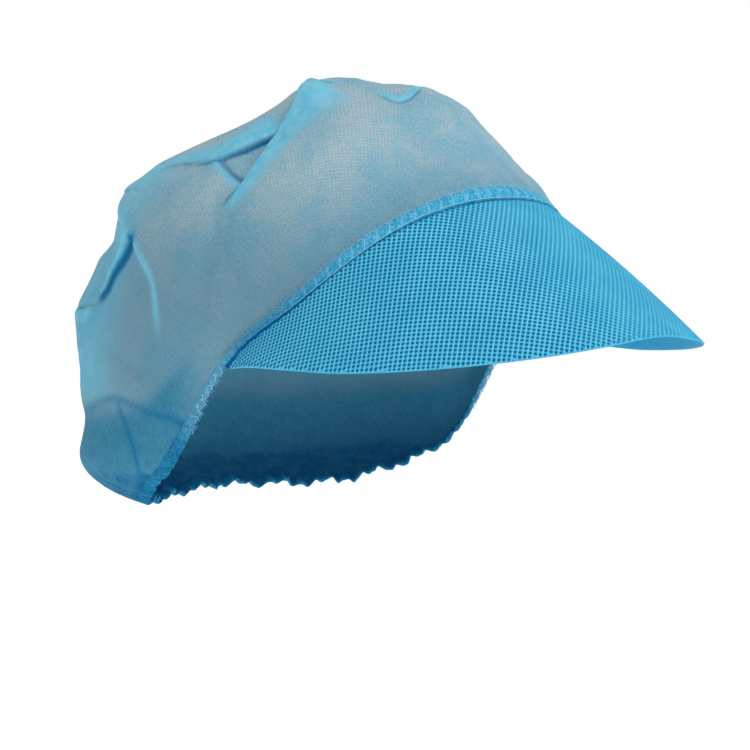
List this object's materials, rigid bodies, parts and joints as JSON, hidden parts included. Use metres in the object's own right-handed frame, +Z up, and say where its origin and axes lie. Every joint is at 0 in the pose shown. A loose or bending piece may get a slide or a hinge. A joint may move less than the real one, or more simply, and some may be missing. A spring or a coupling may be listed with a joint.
{
  "type": "disposable peaked cap",
  "caption": "Disposable non-woven peaked cap: a soft gathered bag crown, a stiff perforated peak, a turned-up stitched seam and an elastic hem round the nape.",
  "frame": {"origin": "centre of the head opening, on the cap's middle plane, at the level where the peak's corners meet the head", "axes": "+Z up along the wearer's head, -Y towards the front of the peak, +X towards the wearer's left"},
  "size_m": [0.1843, 0.2594, 0.169],
  "materials": {
    "bag_cloth": "thin spun-bonded non-woven, matt, slightly see-through",
    "peak_cloth": "stiff embossed non-woven with rows of small pits, matt",
    "seam_cloth": "doubled non-woven with overlock stitching, matt",
    "hem_cloth": "gathered non-woven over flat elastic, matt"
  },
  "bodies": {
    "root": {"crown": "bag_cloth", "peak": "peak_cloth", "seam_band": "seam_cloth", "elastic_hem": "hem_cloth"}
  },
  "joints": []
}
